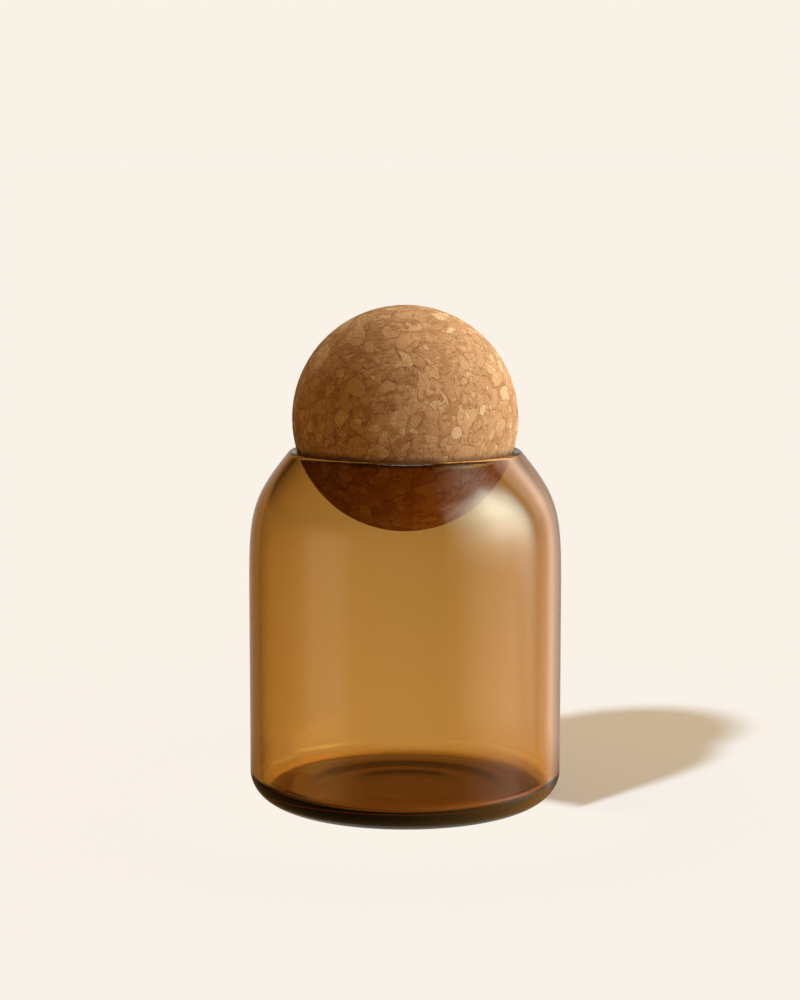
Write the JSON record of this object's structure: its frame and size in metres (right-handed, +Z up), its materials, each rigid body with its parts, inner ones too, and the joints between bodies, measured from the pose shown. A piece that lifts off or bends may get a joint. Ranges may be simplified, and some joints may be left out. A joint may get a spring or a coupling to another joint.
{
  "type": "storage jar",
  "caption": "Squat amber glass storage jar with a sloped shoulder and a wide mouth, closed by a loose cork ball that rests in the lip.",
  "frame": {"origin": "centre of the foot, on the surface the jar stands on", "axes": "+Z up along the jar's axis; +X to the right and -Y towards the viewer, though the object looks the same all round"},
  "size_m": [0.1, 0.1, 0.1602],
  "materials": {
    "amber_glass": "clear amber, fire-polished",
    "pressed_cork": "fine-sanded granules, unsealed"
  },
  "bodies": {
    "jar": {"glass_jar": "amber_glass"},
    "stopper": {"cork_ball_stopper": "pressed_cork"}
  },
  "joints": [
    {"name": "stopper_lift", "type": "slide", "parent": "jar", "child": "stopper", "axis": [0, 0, 1], "range_m": [0, 0.07]}
  ]
}
